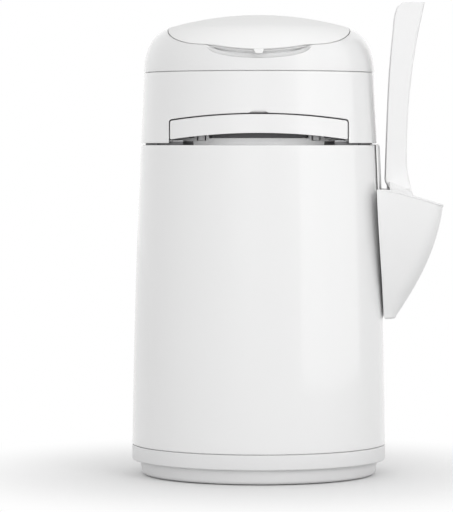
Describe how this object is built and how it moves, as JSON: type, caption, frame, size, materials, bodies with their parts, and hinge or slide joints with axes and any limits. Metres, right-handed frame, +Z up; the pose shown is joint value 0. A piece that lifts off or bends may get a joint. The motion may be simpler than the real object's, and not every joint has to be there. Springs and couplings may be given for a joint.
{
  "type": "litter disposal pail",
  "caption": "Oval pail for used cat litter: tilting head with a sealing jaw slide, domed cover with a flip lid, and a scoop in a side holder.",
  "frame": {"origin": "on the floor under the middle of the bucket, on the plane of the foot ring", "axes": "+Z up, -Y to the front where the pull handle is, +X to the side that carries the scoop"},
  "size_m": [0.294, 0.2183, 0.4476],
  "materials": {
    "white_plastic": "fine satin texture",
    "base_plastic": "fine satin texture",
    "dome_plastic": "smooth satin",
    "lid_plastic": "smooth satin",
    "inner_plastic": "moulded, matt",
    "handle_plastic": "smooth satin",
    "grey_plastic": "moulded, matt",
    "scoop_plastic": "smooth satin",
    "jaw_rubber": "matt",
    "foot_rubber": "matt",
    "seal_rubber": "matt",
    "screw_steel": "zinc plated",
    "spring_steel": "bright drawn wire",
    "blade_steel": "ground",
    "pin_steel": "drawn rod",
    "film": "pleated thin film"
  },
  "bodies": {
    "bucket": {"bucket_shell": "white_plastic", "base_pan": "base_plastic", "foot_ring": "foot_rubber", "base_screws": "screw_steel", "latch_catch": "inner_plastic", "catch_screws": "screw_steel", "cutter_housing": "grey_plastic", "cutter_blade": "blade_steel", "head_hinge_pin": "pin_steel", "scoop_holder": "scoop_plastic"},
    "head": {"head_shell": "white_plastic", "jaw_frame": "inner_plastic", "frame_screws": "screw_steel", "rear_jaw": "inner_plastic", "rear_jaw_pad": "jaw_rubber", "chute_deck": "inner_plastic", "deck_screws": "screw_steel", "return_springs": "spring_steel", "latch_springs": "spring_steel", "cover_hinge_pin": "pin_steel", "cassette_tray": "grey_plastic", "cassette_ring": "grey_plastic", "film_pack": "film"},
    "slide": {"pull_handle": "handle_plastic", "slide_carriage": "inner_plastic", "handle_screws": "screw_steel", "front_jaw_pad": "jaw_rubber"},
    "latch": {"release_bar": "inner_plastic"},
    "cover": {"dome_cover": "dome_plastic", "drop_funnel": "inner_plastic", "lid_hinge_pin": "pin_steel"},
    "lid": {"lid_flap": "lid_plastic", "lid_seal": "seal_rubber"},
    "scoop": {"scoop": "scoop_plastic"}
  },
  "joints": [
    {"name": "head_hinge", "type": "hinge", "parent": "bucket", "child": "head", "pos_m": [0, 0.10568, 0.3139], "axis": [-1, 0, 0], "range_deg": [0, 95]},
    {"name": "cover_hinge", "type": "hinge", "parent": "head", "child": "cover", "pos_m": [0, 0.10238, 0.3813], "axis": [-1, 0, 0], "range_deg": [0, 85]},
    {"name": "lid_hinge", "type": "hinge", "parent": "cover", "child": "lid", "pos_m": [0, 0.048, 0.432], "axis": [-1, 0, 0], "range_deg": [0, 100]},
    {"name": "handle_pull", "type": "slide", "parent": "head", "child": "slide", "axis": [0, -1, 0], "range_m": [0, 0.05], "stiffness_N_per_m": 120, "springref_m": -0.02, "deforming": ["return_springs"]},
    {"name": "release_press", "type": "slide", "parent": "head", "child": "latch", "axis": [0, 1, 0], "range_m": [0, 0.004], "stiffness_N_per_m": 400, "springref_m": -0.003, "deforming": ["latch_springs"]},
    {"name": "scoop_lift", "type": "slide", "parent": "bucket", "child": "scoop", "axis": [0, 0, 1], "range_m": [0, 0.2]}
  ]
}
